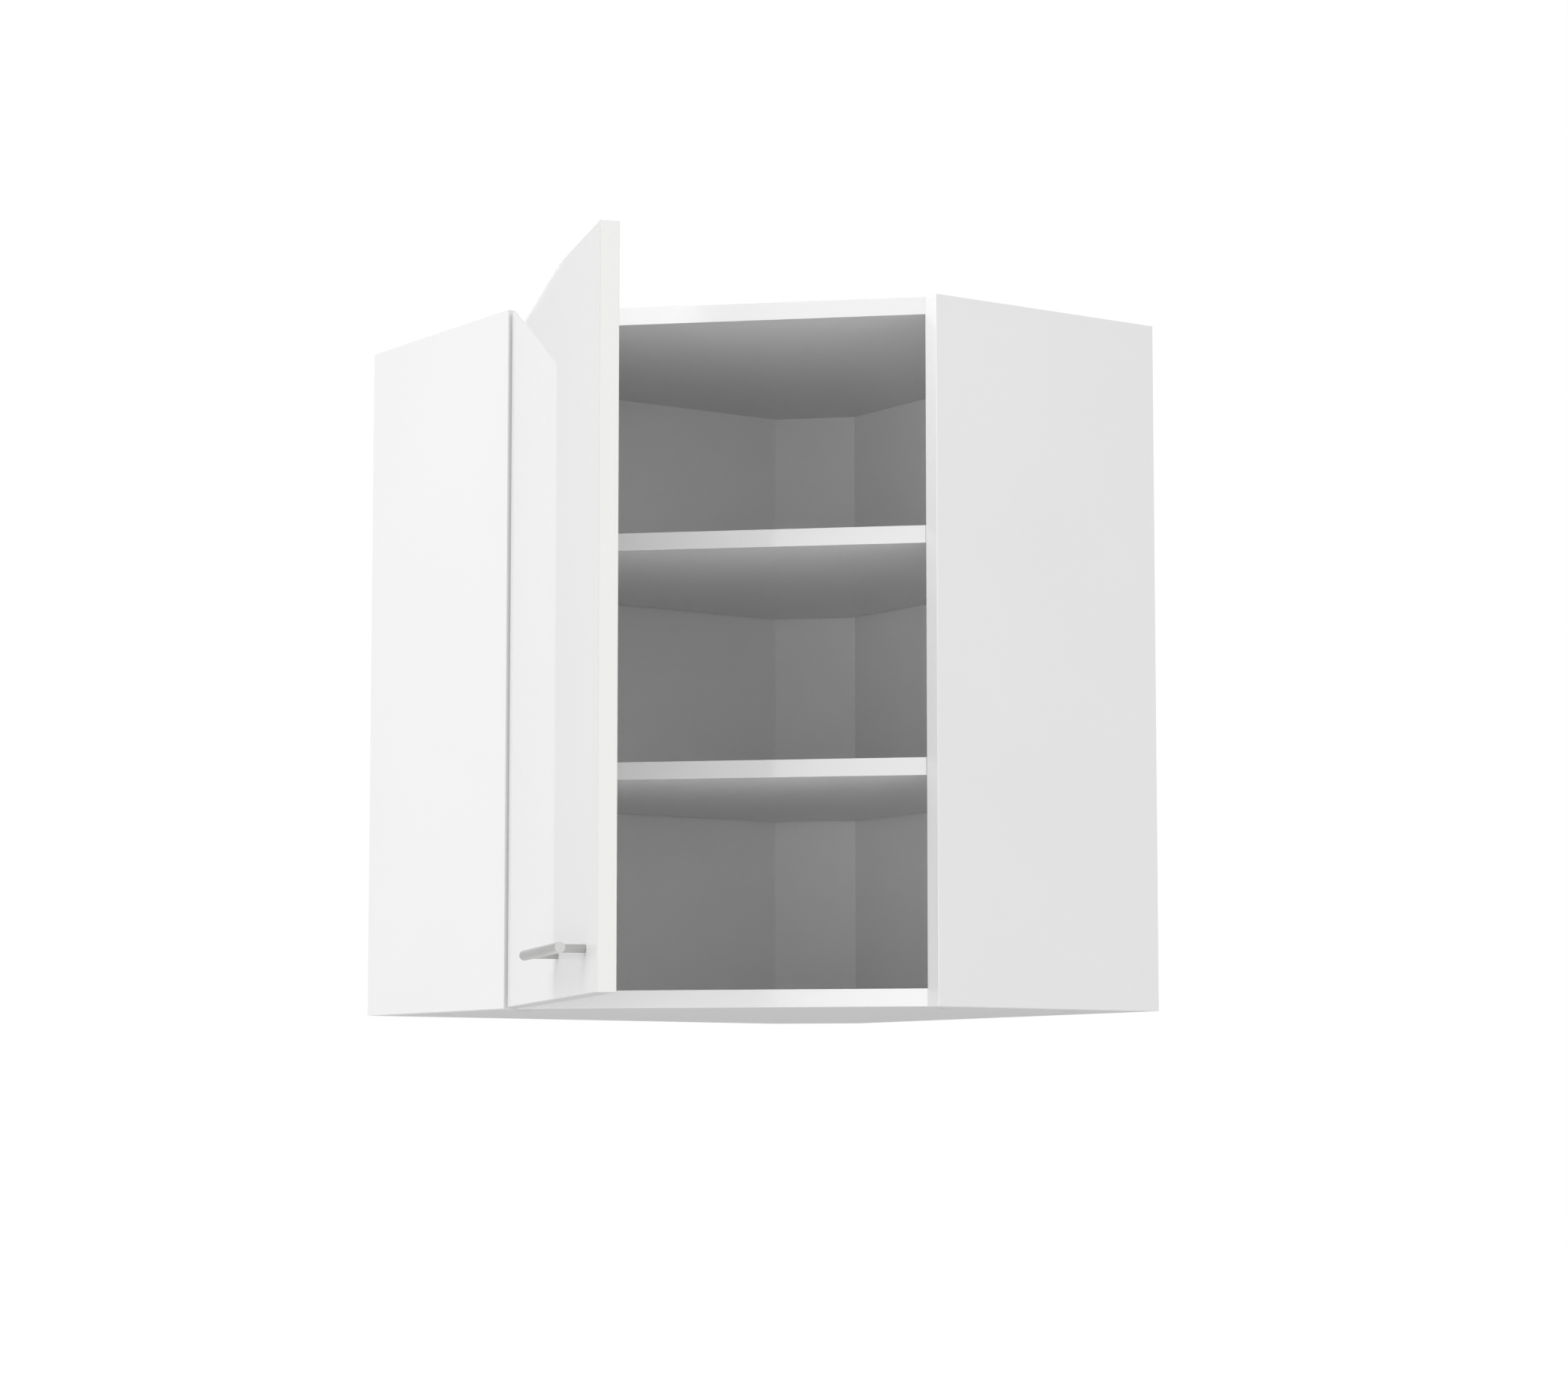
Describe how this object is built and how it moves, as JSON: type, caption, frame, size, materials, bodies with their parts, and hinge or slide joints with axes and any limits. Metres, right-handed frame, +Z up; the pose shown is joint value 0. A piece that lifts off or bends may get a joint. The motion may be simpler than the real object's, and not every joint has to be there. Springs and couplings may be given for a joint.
{
  "type": "corner wall cabinet",
  "caption": "White diagonal corner wall cabinet with loose shelves and one slab door, hung on concealed hinges, with a round bar handle.",
  "frame": {"origin": "the vertical line where the two walls of the room meet, at the height of the cabinet's underside", "axes": "+X along the right wall, -Y along the left wall, +Z up; the front faces +X -Y"},
  "size_m": [0.6996, 0.7662, 0.72],
  "materials": {
    "white_board": "white melamine-faced chipboard, smooth semi-gloss",
    "white_edge_band": "white plastic edge band, semi-gloss",
    "white_back_sheet": "thin hardboard, white lacquered inside",
    "white_gloss_door": "door board in high-gloss white lacquer",
    "brushed_handle_steel": "round bar, fine brushed along its length",
    "nickel_hinge_steel": "pressed steel, bright nickel plated",
    "zinc_screw_steel": "bright zinc plated",
    "zinc_casting": "raw zinc die casting",
    "beech_dowel": "plain fluted beech",
    "white_fitting_plastic": "moulded white plastic"
  },
  "bodies": {
    "carcase": {"left_side_panel": "white_board", "right_side_panel": "white_board", "top_panel": "white_board", "bottom_panel": "white_board", "upper_shelf": "white_board", "lower_shelf": "white_board", "left_side_edge_band": "white_edge_band", "right_side_edge_band": "white_edge_band", "top_edge_band": "white_edge_band", "bottom_edge_band": "white_edge_band", "upper_shelf_edge_band": "white_edge_band", "lower_shelf_edge_band": "white_edge_band", "left_back_panel": "white_back_sheet", "right_back_panel": "white_back_sheet", "corner_back_panel": "white_back_sheet", "upper_hinge_arm": "nickel_hinge_steel", "lower_hinge_arm": "nickel_hinge_steel", "upper_hinge_plate": "nickel_hinge_steel", "lower_hinge_plate": "nickel_hinge_steel", "hinge_plate_screws": "zinc_screw_steel", "hinge_arm_screws": "zinc_screw_steel", "cam_bolts": "zinc_screw_steel", "hanger_fixing_screws": "zinc_screw_steel", "hanger_adjusting_screws": "zinc_screw_steel", "left_hanger_hook": "zinc_screw_steel", "right_hanger_hook": "zinc_screw_steel", "left_wall_plate": "zinc_screw_steel", "right_wall_plate": "zinc_screw_steel", "shelf_supports": "zinc_screw_steel", "cam_housings": "zinc_casting", "carcase_dowels": "beech_dowel", "left_hanger_body": "white_fitting_plastic", "right_hanger_body": "white_fitting_plastic", "left_hanger_cover": "white_fitting_plastic", "right_hanger_cover": "white_fitting_plastic"},
    "door": {"door_panel": "white_gloss_door", "handle_bar": "brushed_handle_steel", "handle_posts": "brushed_handle_steel", "handle_screws": "zinc_screw_steel", "upper_hinge_cup": "nickel_hinge_steel", "lower_hinge_cup": "nickel_hinge_steel", "hinge_pins": "nickel_hinge_steel", "hinge_cup_screws": "zinc_screw_steel"}
  },
  "joints": [
    {"name": "door_hinge", "type": "hinge", "parent": "carcase", "child": "door", "pos_m": [0.30462, -0.59042, 0.359], "axis": [0, 0, -1], "range_deg": [-65, 30]}
  ]
}
